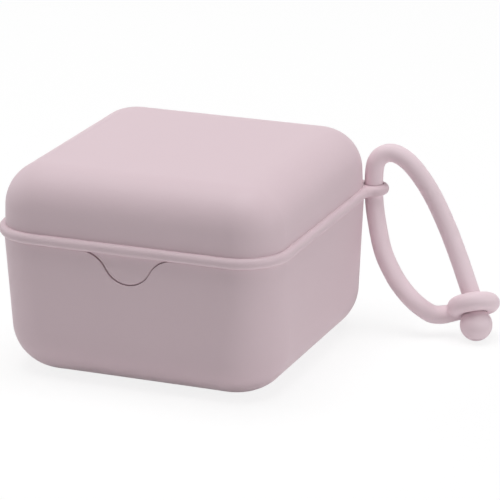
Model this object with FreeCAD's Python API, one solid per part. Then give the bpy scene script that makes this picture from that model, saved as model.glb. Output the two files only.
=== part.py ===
import FreeCAD, Part
import math
import os

# A pacifier case that stands on its foot: a drafted square tub, a domed lid hinged at the back on a pin,
# and a strap that passes through a lug on the lid's bead and closes with a ball behind an eyelet.
# Millimetres, +Z up, origin at the middle of the foot. The lid's tongue faces -Y and the lug +X.

# Tub, measured at its rim
body_width = 85.0
base_height = 40.5
base_draft_deg = 1.0
rim_corner = 12.9
base_round = 13.7
foot_corner_margin = 3.4
rim_edge = 0.3
wall = 2.0
floor = 2.0

# Collar that the lid's rim goes over
collar_height = 3.0
collar_wall = 1.0
collar_clearance = 0.25
collar_top_gap = 0.3
collar_lead = 0.4

# Lid and the half-round bead at its edge
lid_height = 17.4
lid_draft_deg = 1.0
lid_setback = 0.35
lid_round = 12.2
top_corner_margin = 0.8
bead_height = 3.1
bead_reach = 1.4
bead_round_share = 0.48

# Bell-shaped tongue at the front and its pocket in the tub
tongue_depth = 8.7
tongue_radius = 7.65
tongue_flare = 8.5
tongue_thickness = 1.2
tongue_setback = 0.25
tongue_gap = 0.05
tongue_edge = 0.8
pocket_gap = 0.2
pocket_wall = 1.4
pocket_margin = 1.5

# Pin hinge at the back
pin_diameter = 2.0
pin_clearance = 0.05
barrel_diameter = 5.2
barrel_gap = 0.4
knuckle_length = 24.0
ear_length = 6.0
ear_drop = 9.0
ear_edge = 0.5
hinge_play = 0.3

# Lug that the strap passes through, on the corner's arc
lug_bearing_deg = 27.7
lug_gap = 0.3
lug_clearance = 0.25
lug_wall = 1.5
lug_blend = 3.0

# Strap: cord, eyelet and ball
cord_diameter = 5.4
cord_arc_share = 0.45
eyelet_tube = 5.5
eyelet_hole = 4.4
stub_tip = 4.4
ball_diameter = 9.5
neck_clearance = 0.2
seat_gap = 0.25

# The cord's route, from the eyelet's stub round the lug to the ball's neck, from the lug's axis at the rim
strap_route = [
    (23.25, -2.0, -33.55),
    (20.6, -3.56, -33.7),
    (17.6, -4.5, -32.5),
    (14.6, -4.9, -30.4),
    (11.5, -5.0, -27.3),
    (8.6, -4.7, -23.9),
    (4.3, -3.6, -16.9),
    (2.1, -1.5, -9.5),
    (0, 0, -2.2),
    (0, 0, 8.1),
    (1.35, 0.7, 11.0),
    (3.8, 2.0, 12.45),
    (6.7, 3.55, 12.1),
    (10.1, 4.9, 9.4),
    (14.9, 6.2, 1.1),
    (19.8, 7.4, -8.9),
    (25.8, 3.3, -17.9),
    (29.64, 1.86, -25.3),
    (30.82, 0.12, -28.7),
]

# How far a cut runs past the face that it opens, and how near two points are the same
overrun = 1.0
touch = 0.0001

half_width = body_width / 2
rim_top = base_height + collar_height
bead_top = base_height + bead_height
lid_top = bead_top + lid_height
collar_half = half_width - wall + collar_wall
collar_corner = rim_corner - wall + collar_wall
tongue_face = half_width - tongue_setback
tongue_back = tongue_face - tongue_thickness
pocket_back = tongue_back - pocket_gap
barrel_radius = barrel_diameter / 2
pin_radius = pin_diameter / 2
hinge_y = half_width + bead_reach + barrel_gap + barrel_radius
cord_radius = cord_diameter / 2
lug_hole_radius = cord_radius + lug_clearance
lug_radius = lug_hole_radius + lug_wall
lug_distance = rim_corner + lug_gap + cord_radius
lug_x = half_width - rim_corner + lug_distance * math.cos(math.radians(lug_bearing_deg))
lug_y = half_width - rim_corner + lug_distance * math.sin(math.radians(lug_bearing_deg))

Vector = FreeCAD.Vector


def rounded_square(half, corner, z):
    """Wire of a square with quarter-round corners, in a level plane."""
    flat = half - corner
    bulge = flat + corner * math.sqrt(0.5)
    edges = []
    for turn in range(4):
        c = round(math.cos(turn * math.pi / 2))
        s = round(math.sin(turn * math.pi / 2))
        def at(x, y):
            return Vector(x * c - y * s, x * s + y * c, z)
        edges.append(Part.LineSegment(at(half, -flat), at(half, flat)).toShape())
        edges.append(Part.Arc(at(half, flat), at(bulge, bulge), at(flat, half)).toShape())
    return Part.Wire(edges)


def block(low, high):
    """Solid between two rounded squares, each given as half width, corner radius and height."""
    return Part.makeLoft([rounded_square(*low), rounded_square(*high)], True, True)


def level_edges(solid, z):
    """All the edges that lie in the plane at height z."""
    return [e for e in solid.Edges if all(abs(v.Z - z) < touch for v in e.Vertexes)]


def round_level(solid, z, radius):
    """Round all the edges that lie in the plane at height z."""
    return solid.makeFillet(radius, level_edges(solid, z))


def tub_section(z, inset):
    """The tub's half width and corner at height z, inside its outer face by inset."""
    half = half_width - (base_height - z) * math.tan(math.radians(base_draft_deg))
    corner = rim_corner + (base_round + foot_corner_margin - rim_corner) * (1 - z / base_height)
    return half - inset, corner - inset, z


def lid_section(z, inset):
    """The lid's half width and corner at height z, inside its outer face by inset."""
    half = half_width - lid_setback - (z - bead_top) * math.tan(math.radians(lid_draft_deg))
    low_corner = rim_corner - lid_setback
    corner = low_corner + (lid_round + top_corner_margin - low_corner) * (z - base_height) / (lid_top - base_height)
    return half - inset, corner - inset, z


def bell(radius, depth, growth, top, front, back):
    """Prism of a bell outline hung from the rim: a round bottom with tangent flares that run out along the rim.
    Growth moves the whole outline outwards, top is its height above the rim, front and back are depths in -Y."""
    dip = depth - radius
    spread = math.sqrt((radius + tongue_flare) ** 2 - (tongue_flare - dip) ** 2)
    lean = math.atan2(tongue_flare - dip, spread)
    bottom = radius + growth
    flare = tongue_flare - growth
    rise = min(flare, tongue_flare)
    end = math.atan2(rise, -math.sqrt(flare ** 2 - rise ** 2))
    middle = (end + math.pi - lean) / 2

    def at(x, z):
        return Vector(x, -front, base_height + z)

    def on_flare(side, angle):
        return at(side * (spread + flare * math.cos(angle)), flare * math.sin(angle) - tongue_flare)

    right, left = [
        [on_flare(side, angle) for angle in (math.pi - lean, middle, end)] for side in (1, -1)
    ]
    right_top = Vector(right[2].x, right[2].y, base_height + top)
    left_top = Vector(left[2].x, left[2].y, base_height + top)
    outline = Part.Wire([
        Part.Arc(left[0], at(0, -dip - bottom), right[0]).toShape(),
        Part.Arc(*right).toShape(),
        Part.LineSegment(right[2], right_top).toShape(),
        Part.LineSegment(right_top, left_top).toShape(),
        Part.LineSegment(left_top, left[2]).toShape(),
        Part.Arc(left[2], left[1], left[0]).toShape(),
    ])
    return Part.Face(outline).extrude(Vector(0, front - back, 0))


def rod(radius, length, x):
    """Cylinder on the hinge's axis that starts at x."""
    return Part.makeCylinder(radius, length, Vector(x, hinge_y, base_height), Vector(1, 0, 0))


def ear(x):
    """Hinge ear: a barrel on a bracket whose slope runs by a tangent from the tub's wall to the barrel."""
    root = half_width - wall / 2
    away = hinge_y - root
    reach = math.hypot(away, ear_drop)
    slope = math.asin(barrel_radius / reach) + math.atan2(away, ear_drop)
    run = math.sqrt(reach ** 2 - barrel_radius ** 2)
    foot = base_height - ear_drop
    profile = [
        Vector(x, root, foot),
        Vector(x, root + run * math.sin(slope), foot + run * math.cos(slope)),
        Vector(x, hinge_y, base_height),
        Vector(x, hinge_y, base_height - hinge_play),
        Vector(x, root, base_height - hinge_play),
    ]
    bracket = Part.Face(Part.makePolygon(profile + profile[:1])).extrude(Vector(ear_length, 0, 0))
    body = bracket.fuse(rod(barrel_radius, ear_length, x)).removeSplitter()
    outer = x + ear_length if x > 0 else x
    return body.makeFillet(ear_edge, [e for e in body.Edges if all(abs(v.X - outer) < touch for v in e.Vertexes)])


def make_tub():
    """Tub with its collar, the tongue's pocket and a hinge ear at each end of the lid's knuckle."""
    body = round_level(block(tub_section(0, 0), tub_section(base_height, 0)), 0, base_round)
    body = round_level(body, base_height, rim_edge)
    collar = block((collar_half, collar_corner, base_height - wall), (collar_half, collar_corner, rim_top))
    body = body.fuse(collar.makeChamfer(collar_lead, level_edges(collar, rim_top)))
    cavity = block(tub_section(floor, wall), tub_section(rim_top + overrun, wall))
    body = body.cut(round_level(cavity, floor, base_round - wall))
    pad = bell(tongue_radius + pocket_margin, tongue_depth + pocket_margin, 0, collar_height,
               tongue_back, pocket_back - pocket_wall)
    pocket = bell(tongue_radius, tongue_depth, 0, collar_height + overrun, half_width + overrun, pocket_back)
    body = body.fuse(pad).cut(pocket)
    inner = knuckle_length / 2 + hinge_play
    for x in (inner, -inner - ear_length):
        body = body.fuse(ear(x)).cut(rod(pin_radius, ear_length, x))
    return body.removeSplitter()


def make_bead():
    """Solid plate of the bead's outline, which flows round the lug, with its edges rounded."""
    corner = rim_corner + bead_reach
    half = half_width + bead_reach
    plate = block((half, corner, base_height), (half, corner, bead_top))
    lug = Part.makeCylinder(lug_radius, bead_height, Vector(lug_x, lug_y, base_height))
    plate = plate.fuse(lug).removeSplitter()
    joins = []
    for edge in plate.Edges:
        offsets = [math.hypot(v.X - lug_x, v.Y - lug_y) - lug_radius for v in edge.Vertexes]
        upright = abs(edge.BoundBox.ZLength - bead_height) < touch
        if upright and max(map(abs, offsets)) < touch:
            joins.append(edge)
    plate = plate.makeFillet(lug_blend, joins)
    for z in (base_height, bead_top):
        plate = round_level(plate, z, bead_height * bead_round_share)
    return plate


def make_tongue(top):
    """Bell-shaped tongue that hangs from the rim, with the edge of its face rounded."""
    tongue = bell(tongue_radius, tongue_depth, -tongue_gap, top - base_height, tongue_face, tongue_back)
    face = [e for e in tongue.Edges if all(abs(v.Y + tongue_face) < touch for v in e.Vertexes)]
    rim = [e for e in face if min(v.Z for v in e.Vertexes) < top - touch]
    return tongue.makeFillet(tongue_edge, rim)


def make_lid():
    """Domed lid with its bead, lug, tongue and hinge knuckle in one moulding."""
    dome = round_level(block(lid_section(base_height, 0), lid_section(lid_top, 0)), lid_top, lid_round)
    arm = Part.makeBox(knuckle_length, hinge_y - half_width, barrel_radius,
                       Vector(-knuckle_length / 2, half_width, base_height))
    body = dome.fuse([make_bead(), arm, rod(barrel_radius, knuckle_length, -knuckle_length / 2)])
    ceiling = lid_top - wall
    cavity = block(lid_section(base_height - overrun, wall), lid_section(ceiling, wall))
    cavity = round_level(cavity, ceiling, lid_round - wall)
    seat_half = collar_half + collar_clearance
    seat_corner = collar_corner + collar_clearance
    seat_top = rim_top + collar_top_gap
    seat = block((seat_half, seat_corner, base_height - overrun), (seat_half, seat_corner, seat_top))
    body = body.cut([cavity, seat])
    body = body.fuse(make_tongue(seat_top))
    bore = rod(pin_radius + pin_clearance, knuckle_length, -knuckle_length / 2)
    hole = Part.makeCylinder(lug_hole_radius, bead_height, Vector(lug_x, lug_y, base_height))
    return body.cut([bore, hole]).removeSplitter()


def make_pin():
    """Hinge pin, flush with the ears' outer ends."""
    length = knuckle_length + (hinge_play + ear_length) * 2
    return rod(pin_radius, length, -length / 2)


def make_cord(points):
    """Tube along straight runs joined by arcs as large as the runs allow."""
    edges = []
    radii = []
    last = points[0]
    for before, here, after in zip(points, points[1:], points[2:]):
        back = (before - here).normalize()
        ahead = (after - here).normalize()
        half_turn = (math.pi - back.getAngle(ahead)) / 2
        reach = cord_arc_share * min(before.distanceToPoint(here), here.distanceToPoint(after))
        radius = reach / math.tan(half_turn)
        inward = (back + ahead).normalize()
        crown = here + inward * (radius / math.cos(half_turn) - radius)
        start = here + back * reach
        stop = here + ahead * reach
        edges.append(Part.LineSegment(last, start).toShape())
        edges.append(Part.Arc(start, crown, stop).toShape())
        radii.append(radius)
        last = stop
    edges.append(Part.LineSegment(last, points[-1]).toShape())
    path = Part.Wire(edges)
    section = Part.Wire(Part.makeCircle(cord_radius, points[0], points[1] - points[0]))
    tube = path.makePipeShell([section], True, False)
    print("cord radii", " ".join("%.1f" % radius for radius in radii))
    print("cord length %.1f, volume %.1f, section times length %.1f"
          % (path.Length, tube.Volume, math.pi * cord_radius ** 2 * path.Length))
    return tube


def make_closure(points):
    """Eyelet on a stub at the cord's first end, and the ball whose neck joins the cord's last end through it."""
    tube_radius = eyelet_tube / 2
    ring_radius = (eyelet_hole + eyelet_tube) / 2
    ball_radius = ball_diameter / 2
    down = (points[-1] - points[-2]).normalize()
    cord_rise = math.sqrt((tube_radius + seat_gap) ** 2 - (ring_radius - cord_radius) ** 2)
    ball_drop = math.sqrt((ball_radius + tube_radius + seat_gap) ** 2 - ring_radius ** 2)
    centre = points[-1] + down * cord_rise
    ring = Part.makeTorus(ring_radius, tube_radius, centre, down)

    # The stub carries the cord's first run on to the ring's tube, and tapers to clear the ball
    along = (points[0] - points[1]).normalize()
    across = along - down * along.dot(down)
    offset = points[0] - centre
    offset = offset - down * offset.dot(down)
    half_sum = offset.dot(across) / across.dot(across)
    stub_length = -half_sum - math.sqrt(half_sum ** 2 - (offset.dot(offset) - ring_radius ** 2) / across.dot(across))
    stub = Part.makeCone(cord_radius, stub_tip / 2, stub_length, points[0], along)
    stub = stub.fuse(Part.makeSphere(stub_tip / 2, points[0] + along * stub_length))
    eyelet = ring.fuse(stub).removeSplitter()

    ball = Part.makeSphere(ball_radius, centre + down * ball_drop)
    neck_radius = eyelet_hole / 2 - neck_clearance
    neck = Part.makeCylinder(neck_radius, cord_rise + ball_drop, points[-1], down)
    return eyelet, ball.fuse(neck).removeSplitter()


route = [Vector(lug_x + x, lug_y + y, base_height + z) for x, y, z in strap_route]
eyelet, ball = make_closure(route)
nodes = {
    "base_tub": make_tub(),
    "lid": make_lid(),
    "hinge_pin": make_pin(),
    "strap_cord": make_cord(route),
    "strap_eyelet": eyelet,
    "strap_ball": ball,
}
os.makedirs("parts", exist_ok=True)
for name, shape in nodes.items():
    print(name, shape.isValid(), len(shape.Solids), "%.1f" % shape.Volume)
    shape.exportStep("parts/%s.step" % name)
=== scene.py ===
import math
import bpy
import numpy as np
from mathutils import Matrix, Vector


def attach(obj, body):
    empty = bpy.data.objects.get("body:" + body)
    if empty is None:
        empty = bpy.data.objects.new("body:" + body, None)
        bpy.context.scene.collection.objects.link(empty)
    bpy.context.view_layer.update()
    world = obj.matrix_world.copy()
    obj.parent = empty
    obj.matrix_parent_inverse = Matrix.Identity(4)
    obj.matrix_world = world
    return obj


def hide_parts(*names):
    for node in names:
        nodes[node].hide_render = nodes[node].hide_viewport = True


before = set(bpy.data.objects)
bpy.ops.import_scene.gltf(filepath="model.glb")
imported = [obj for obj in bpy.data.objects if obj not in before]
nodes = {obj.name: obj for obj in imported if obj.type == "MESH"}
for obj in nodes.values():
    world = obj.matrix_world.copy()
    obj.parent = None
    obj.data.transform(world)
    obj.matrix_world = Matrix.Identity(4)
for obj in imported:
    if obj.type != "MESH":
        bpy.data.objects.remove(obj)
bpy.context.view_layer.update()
mm = 0.001
print("frame loaded:", sorted(nodes))

# the view, in degrees, metres and the pixels of a square frame, with a sensor in millimetres
view = {"azimuth": 23.471, "elevation": 18.209, "roll": -0.73, "distance": 0.91604,
        "target": (0, 0, 0.031875), "framePixels": 500, "focalPixels": 3170.785,
        "centrePixels": (187.4, 241.26), "sensor": 36.0, "nearest": 0.01}


def setCamera():
    az, el, roll = (math.radians(view[key]) for key in ("azimuth", "elevation", "roll"))
    towards = Vector((math.sin(az) * math.cos(el), -math.cos(az) * math.cos(el), math.sin(el)))
    levelRight = (-towards).cross(Vector((0, 0, 1))).normalized()
    levelUp = levelRight.cross(-towards)
    right = levelRight * math.cos(roll) + levelUp * math.sin(roll)
    up = levelUp * math.cos(roll) - levelRight * math.sin(roll)
    place = Vector(view["target"]) + towards * view["distance"]
    lens = bpy.data.cameras.new("viewCamera")
    lens.sensor_fit = "HORIZONTAL"
    lens.sensor_width = view["sensor"]
    lens.lens = view["focalPixels"] * view["sensor"] / view["framePixels"]
    lens.shift_x = 0.5 - view["centrePixels"][0] / view["framePixels"]
    lens.shift_y = view["centrePixels"][1] / view["framePixels"] - 0.5
    lens.clip_start = view["nearest"]
    camera = bpy.data.objects.new("viewCamera", lens)
    rows = [[right[i], up[i], towards[i], place[i]] for i in range(3)]
    camera.matrix_world = Matrix(rows + [[0, 0, 0, 1]])
    bpy.context.scene.collection.objects.link(camera)
    bpy.context.scene.camera = camera
    print("camera set, lens %.1f mm" % lens.lens)


# soft studio light: a broad lamp overhead, three low fills and an even world, on a white floor;
# a lamp has a place, a size and watts
light = {"world": 0.06, "floorHalf": 4.0, "floorTone": 0.92, "floorGlow": 1.05, "shadowShare": 0.2,
         "lamps": [("overheadLamp", (0, 0, 1.4), 1.2, 16.0), ("rightFill", (1.4, 0.1, 0.35), 0.5, 3.9),
                   ("cornerFill", (1.0, -0.9, 0.3), 0.5, 1.0), ("leftFill", (-1.3, 0, 0.6), 1.2, 4.3)]}


def rayIsSeen(tree):
    # 1 for rays that show the background directly, in a mirror or through glass
    path = tree.nodes.new("ShaderNodeLightPath")
    first = tree.nodes.new("ShaderNodeMath")
    first.operation = "MAXIMUM"
    last = tree.nodes.new("ShaderNodeMath")
    last.operation = "MAXIMUM"
    tree.links.new(path.outputs["Is Camera Ray"], first.inputs[0])
    tree.links.new(path.outputs["Is Glossy Ray"], first.inputs[1])
    tree.links.new(first.outputs[0], last.inputs[0])
    tree.links.new(path.outputs["Is Transmission Ray"], last.inputs[1])
    return last.outputs[0]


def setWorld():
    world = bpy.data.worlds.new("studio")
    world.use_nodes = True
    tree = world.node_tree
    tree.nodes.clear()
    out = tree.nodes.new("ShaderNodeOutputWorld")
    mix = tree.nodes.new("ShaderNodeMixShader")
    lit = tree.nodes.new("ShaderNodeBackground")
    lit.inputs["Strength"].default_value = light["world"]
    seen = tree.nodes.new("ShaderNodeBackground")
    for background in (lit, seen):
        background.inputs["Color"].default_value = (1, 1, 1, 1)
    tree.links.new(rayIsSeen(tree), mix.inputs[0])
    tree.links.new(lit.outputs[0], mix.inputs[1])
    tree.links.new(seen.outputs[0], mix.inputs[2])
    tree.links.new(mix.outputs[0], out.inputs["Surface"])
    bpy.context.scene.world = world


def floorMaterial():
    # white to the eye, yet it takes a share of the object's shadow
    material = bpy.data.materials.new("paleFloor")
    material.use_nodes = True
    tree = material.node_tree
    tree.nodes.clear()
    out = tree.nodes.new("ShaderNodeOutputMaterial")
    paper = tree.nodes.new("ShaderNodeBsdfDiffuse")
    paper.inputs["Color"].default_value = (light["floorTone"],) * 3 + (1,)
    glow = tree.nodes.new("ShaderNodeEmission")
    glow.inputs["Strength"].default_value = light["floorGlow"]
    shown = tree.nodes.new("ShaderNodeMixShader")
    shown.inputs[0].default_value = light["shadowShare"]
    mix = tree.nodes.new("ShaderNodeMixShader")
    tree.links.new(glow.outputs[0], shown.inputs[1])
    tree.links.new(paper.outputs[0], shown.inputs[2])
    tree.links.new(rayIsSeen(tree), mix.inputs[0])
    tree.links.new(paper.outputs[0], mix.inputs[1])
    tree.links.new(shown.outputs[0], mix.inputs[2])
    tree.links.new(mix.outputs[0], out.inputs["Surface"])
    return material


def setStudio():
    bpy.context.scene.view_settings.view_transform = "Standard"
    setWorld()
    half = light["floorHalf"]
    corners = [(-half, -half, 0), (half, -half, 0), (half, half, 0), (-half, half, 0)]
    mesh = bpy.data.meshes.new("floor")
    mesh.from_pydata(corners, [], [(0, 1, 2, 3)])
    mesh.materials.append(floorMaterial())
    floor = bpy.data.objects.new("floor", mesh)
    bpy.context.scene.collection.objects.link(floor)
    for name, place, size, power in light["lamps"]:
        lamp = bpy.data.lights.new(name, "AREA")
        lamp.shape = "DISK"
        lamp.size = size
        lamp.energy = power
        holder = bpy.data.objects.new(name, lamp)
        holder.location = place
        aim = Vector(view["target"]) - Vector(place)
        holder.rotation_euler = aim.to_track_quat("-Z", "Y").to_euler()
        bpy.context.scene.collection.objects.link(holder)
    print("studio lit with", len(light["lamps"]), "lamps")


# moulded polypropylene of the tub, lid and pin
shellFinish = {"colour": (0.75, 0.597, 0.643), "shade": (0.735, 0.582, 0.628), "roughness": (0.5, 0.58),
               "specular": 0.35, "cloudScale": 28, "cloudDetail": 3, "grainScale": 5200, "grainDetail": 2,
               "grainHeight": 0.000006}
# silicone of the strap, softer and a little powdery; its colour is the shell's pink painted lighter,
# painted light that stands in for the light falling on the strands
strapPaintedLighterFinish = {"colour": (0.885, 0.725, 0.775), "shade": (0.87, 0.71, 0.76), "roughness": (0.56, 0.64),
               "specular": 0.3, "cloudScale": 60, "cloudDetail": 3, "grainScale": 7000, "grainDetail": 2,
               "grainHeight": 0.000005}


def mouldedMaterial(name, finish):
    material = bpy.data.materials.new(name)
    material.use_nodes = True
    tree = material.node_tree
    shader = tree.nodes["Principled BSDF"]
    shader.inputs["Specular IOR Level"].default_value = finish["specular"]
    where = tree.nodes.new("ShaderNodeTexCoord")
    # slow clouding of the pigment; the mix takes its colours at inputs 6 and 7, and gives output 2
    cloud = tree.nodes.new("ShaderNodeTexNoise")
    cloud.inputs["Scale"].default_value = finish["cloudScale"]
    cloud.inputs["Detail"].default_value = finish["cloudDetail"]
    tone = tree.nodes.new("ShaderNodeMix")
    tone.data_type = "RGBA"
    tone.inputs[6].default_value = finish["shade"] + (1,)
    tone.inputs[7].default_value = finish["colour"] + (1,)
    # the fine grain of the mould
    grain = tree.nodes.new("ShaderNodeTexNoise")
    grain.inputs["Scale"].default_value = finish["grainScale"]
    grain.inputs["Detail"].default_value = finish["grainDetail"]
    gloss = tree.nodes.new("ShaderNodeMapRange")
    gloss.inputs["To Min"].default_value, gloss.inputs["To Max"].default_value = finish["roughness"]
    bump = tree.nodes.new("ShaderNodeBump")
    bump.inputs["Distance"].default_value = finish["grainHeight"]
    for noise in (cloud, grain):
        tree.links.new(where.outputs["Object"], noise.inputs["Vector"])
    tree.links.new(cloud.outputs["Fac"], tone.inputs[0])
    tree.links.new(tone.outputs[2], shader.inputs["Base Color"])
    tree.links.new(grain.outputs["Fac"], gloss.inputs["Value"])
    tree.links.new(gloss.outputs["Result"], shader.inputs["Roughness"])
    tree.links.new(grain.outputs["Fac"], bump.inputs["Height"])
    tree.links.new(bump.outputs["Normal"], shader.inputs["Normal"])
    return material


# the strap, in millimetres: its route is from the lug's axis at the tub's rim, as it hangs, and the
# ball pulls along its own axis, a little steeper than the strand above it
strap = {"cord": 5.4, "ringTube": 5.5, "ringHole": 4.4, "tip": 4.4, "ball": 9.5, "neck": 4.0,
         "seatGap": 0.25, "blend": 0.8, "voxel": 0.22, "probe": 0.01,
         "lug": (43.678, 36.991, 40.5), "pull": (1.18, -1.74, -3.4),
         "route": [(23.2, -1.7, -34.0), (20.55, -3.44, -34.3), (17.6, -4.5, -32.5), (14.5, -4.9, -30.2),
                   (11.55, -5.0, -27.3), (8.55, -4.7, -23.8), (4.3, -3.6, -17.0), (1.8, -1.6, -9.5),
                   (0, 0, -2.2), (0, 0, 8.1), (1.2, 0.7, 11.1), (3.75, 1.65, 12.5), (6.6, 2.45, 12.05),
                   (10.4, 3.45, 9.2), (15.55, 4.85, 1.75), (20.5, 5.35, -8.2), (25.5, 3.45, -18.2),
                   (28.7, 1.55, -24.7), (30.82, 0.12, -28.7)]}
# how finely the strap is divided
steps = {"cordRound": 12, "cordAlong": 16, "ringAround": 96, "ringTube": 48, "stubCap": 14,
         "stubAround": 48, "draws": 5, "neckBend": 12, "ballArc": 60, "ballAround": 72}
route = (np.array(strap["route"]) + np.array(strap["lug"])) * mm


def unit(vector):
    return vector / np.linalg.norm(vector)


def closurePlaces():
    # the ring and the ball follow from the ends of the route and the ball's pull
    sizes = ("ringTube", "ringHole", "cord", "ball", "seatGap")
    tube, hole, cord, ball, gap = (strap[key] * mm for key in sizes)
    down = unit(np.array(strap["pull"]))
    ring = (tube + hole) / 2
    rise = math.sqrt((tube / 2 + gap) ** 2 - (ring - cord / 2) ** 2)
    drop = math.sqrt((ball / 2 + tube / 2 + gap) ** 2 - ring ** 2)
    centre = route[-1] + down * rise
    along = unit(route[0] - route[1])
    # the stub's tip is where its line first meets the ring's core circle, seen along the ring's axis
    across = along - down * (along @ down)
    offset = route[0] - centre
    offset = offset - down * (offset @ down)
    half = (offset @ across) / (across @ across)
    reach = -half - math.sqrt(half ** 2 - (offset @ offset - ring ** 2) / (across @ across))
    tip = route[0] + along * reach
    return {"down": down, "ring": ring, "centre": centre, "drop": rise + drop, "tip": tip}


def link(name, mesh, material, replaced):
    mesh.materials.append(material)
    piece = bpy.data.objects.new(name, mesh)
    bpy.context.scene.collection.objects.link(piece)
    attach(piece, "strap")
    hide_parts(replaced)
    return piece


def smoothMesh(name, points, faces):
    mesh = bpy.data.meshes.new(name)
    mesh.from_pydata(points.tolist(), [], faces)
    mesh.polygons.foreach_set("use_smooth", np.ones(len(mesh.polygons), bool))
    return mesh


def gridFaces(rows, columns, wrapRows):
    # quads of a grid whose columns close on themselves, and whose rows do if wrapRows is true
    i = np.arange(rows if wrapRows else rows - 1)[:, None]
    j = np.arange(columns)[None, :]
    below, beside = (i + 1) % rows, (j + 1) % columns
    here, under = i * columns, below * columns
    corners = np.broadcast_arrays(here + j, here + beside, under + beside, under + j)
    return np.stack(corners, -1).reshape(-1, 4).tolist()


def poleFaces(rows, columns):
    # fans to the two poles, whose points come after the grid's
    faces = []
    last = (rows - 1) * columns
    for j in range(columns):
        beside = (j + 1) % columns
        faces += [(rows * columns, beside, j), (rows * columns + 1, last + j, last + beside)]
    return faces


def spokesAbout(axis, angles):
    # unit vectors cos t side + sin t front, square to the axis
    side = unit(np.cross(axis, (0, 0, 1.0)))
    front = np.cross(axis, side)
    return np.cos(angles)[..., None] * side + np.sin(angles)[..., None] * front


def fullTurn(count):
    return np.arange(count) / count * 2 * math.pi


def turned(start, axis, along, radius, poles, count):
    # a profile turned about an axis, start + along axis + radius spoke, closed at its two poles
    spokes = spokesAbout(axis, fullTurn(count))
    points = start + along[:, None, None] * axis + radius[:, None, None] * spokes
    faces = gridFaces(len(along), count, False) + poleFaces(len(along), count)
    return np.r_[points.reshape(-1, 3), poles], faces


def makeCord(material):
    curve = bpy.data.curves.new("strapCord", "CURVE")
    curve.dimensions = "3D"
    curve.bevel_depth = strap["cord"] * mm / 2
    curve.bevel_resolution = steps["cordRound"]
    curve.resolution_u = steps["cordAlong"]
    curve.use_fill_caps = True
    line = curve.splines.new("NURBS")
    line.points.add(len(route) - 1)
    line.points.foreach_set("co", np.c_[route, np.ones(len(route))].ravel())
    line.order_u = 3
    line.use_endpoint_u = True
    print("cord hung on", len(route), "points")
    return link("strapCord", curve, material, "strap_cord")


def eyeletField(points, places):
    # distances to the ring, |(|p| - R, p.axis)| - r, and to the tapered stub, joined by a smooth minimum
    away = points - places["centre"]
    height = away @ places["down"]
    flat = np.linalg.norm(away - height[:, None] * places["down"], axis=1)
    ring = np.hypot(flat - places["ring"], height) - strap["ringTube"] * mm / 2
    axis = places["tip"] - route[0]
    share = np.clip((points - route[0]) @ axis / (axis @ axis), 0, 1)
    radius = (strap["cord"] + (strap["tip"] - strap["cord"]) * share) * mm / 2
    stub = np.linalg.norm(points - route[0] - share[:, None] * axis, axis=1) - radius
    soft = strap["blend"] * mm
    overlap = np.maximum(soft - np.abs(ring - stub), 0) / soft
    return np.minimum(ring, stub) - overlap ** 2 * soft / 4


def ringShape(places):
    # centre + (R + r cos v) spoke(u) - r sin v axis
    around, across = steps["ringAround"], steps["ringTube"]
    u, v = np.meshgrid(fullTurn(around), fullTurn(across), indexing="ij")
    tube = strap["ringTube"] * mm / 2
    spokes = spokesAbout(places["down"], u)
    ring = places["centre"] + (places["ring"] + tube * np.cos(v))[..., None] * spokes
    ring = ring - (tube * np.sin(v))[..., None] * places["down"]
    return ring.reshape(-1, 3), gridFaces(around, across, True)


def stubShape(places):
    # a rounded rod from the cord's end to the tip, its radius falling along it
    axis = places["tip"] - route[0]
    length = np.linalg.norm(axis)
    axis = axis / length
    first, last = strap["cord"] * mm / 2, strap["tip"] * mm / 2
    arc = np.linspace(0, math.pi / 2, steps["stubCap"])
    along = np.r_[-first * np.cos(arc[1:]), length + last * np.sin(arc[:-1])]
    radius = np.r_[first * np.sin(arc[1:]), last * np.cos(arc[:-1])]
    poles = [route[0] - first * axis, places["tip"] + last * axis]
    return turned(route[0], axis, along, radius, poles, steps["stubAround"])


def drawOn(points, places):
    # Newton steps along the field's gradient bring the points on to its zero
    probe = strap["probe"] * mm
    for draw in range(steps["draws"]):
        shifts = [eyeletField(points + probe * row, places) - eyeletField(points - probe * row, places)
                  for row in np.eye(3)]
        slope = np.stack(shifts, -1) / (2 * probe)
        points = points - (eyeletField(points, places) / np.sum(slope ** 2, 1))[:, None] * slope
    return points


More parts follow.
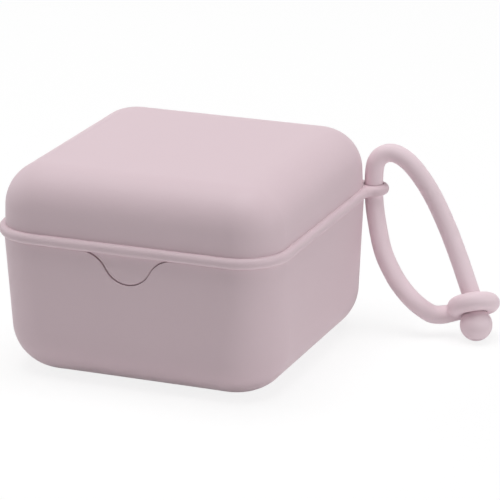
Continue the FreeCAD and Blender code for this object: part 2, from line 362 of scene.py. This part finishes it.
def makeEyelet(places, material):
    # stub and ring under one skin, which is then drawn on to their blended field
    stub, faces = stubShape(places)
    ring, ringFaces = ringShape(places)
    faces += [[corner + len(stub) for corner in face] for face in ringFaces]
    rough = bpy.data.objects.new("eyeletRough", smoothMesh("eyeletRough", np.r_[stub, ring], faces))
    bpy.context.scene.collection.objects.link(rough)
    skin = rough.modifiers.new("skin", "REMESH")
    skin.mode = "VOXEL"
    skin.voxel_size = strap["voxel"] * mm
    joined = bpy.data.meshes.new_from_object(rough.evaluated_get(bpy.context.evaluated_depsgraph_get()))
    bpy.data.objects.remove(rough)
    points = np.empty(len(joined.vertices) * 3)
    joined.vertices.foreach_get("co", points)
    points = drawOn(points.reshape(-1, 3), places)
    joined.vertices.foreach_set("co", points.ravel())
    joined.polygons.foreach_set("use_smooth", np.ones(len(joined.polygons), bool))
    joined.update()
    print("eyelet skinned with", len(joined.polygons), "faces")
    return link("strapEyelet", joined, material, "strap_eyelet")


def makeBall(places, material):
    # the profile is a straight neck, a fillet arc, then the ball's arc
    ball, neck, fillet = strap["ball"] * mm / 2, strap["neck"] * mm / 2, strap["blend"] * mm
    drop = places["drop"]
    rise = math.sqrt((ball + fillet) ** 2 - (neck + fillet) ** 2)
    bend = np.linspace(0, math.atan2(rise, neck + fillet), steps["neckBend"])
    arc = np.linspace(math.atan2(neck + fillet, rise), math.pi, steps["ballArc"])[1:-1]
    radius = np.r_[neck, neck + fillet - fillet * np.cos(bend), ball * np.sin(arc)]
    depth = np.r_[0, drop - rise + fillet * np.sin(bend), drop - ball * np.cos(arc)]
    poles = [route[-1], route[-1] + (drop + ball) * places["down"]]
    points, faces = turned(route[-1], places["down"], depth, radius, poles, steps["ballAround"])
    mesh = smoothMesh("strapBall", points, faces)
    print("ball turned with", len(mesh.polygons), "faces")
    return link("strapBall", mesh, material, "strap_ball")


setCamera()
setStudio()
# the strap's material carries the pink painted lighter, a painted light on the strands
strapMaterial = mouldedMaterial("siliconeStrap", strapPaintedLighterFinish)
places = closurePlaces()
cord = makeCord(strapMaterial)
eyelet = makeEyelet(places, strapMaterial)
ball = makeBall(places, strapMaterial)
shellMaterial = mouldedMaterial("mouldedShell", shellFinish)
for name in ("base_tub", "lid", "hinge_pin"):
    nodes[name].data.materials.clear()
    nodes[name].data.materials.append(shellMaterial)
print("shell painted")
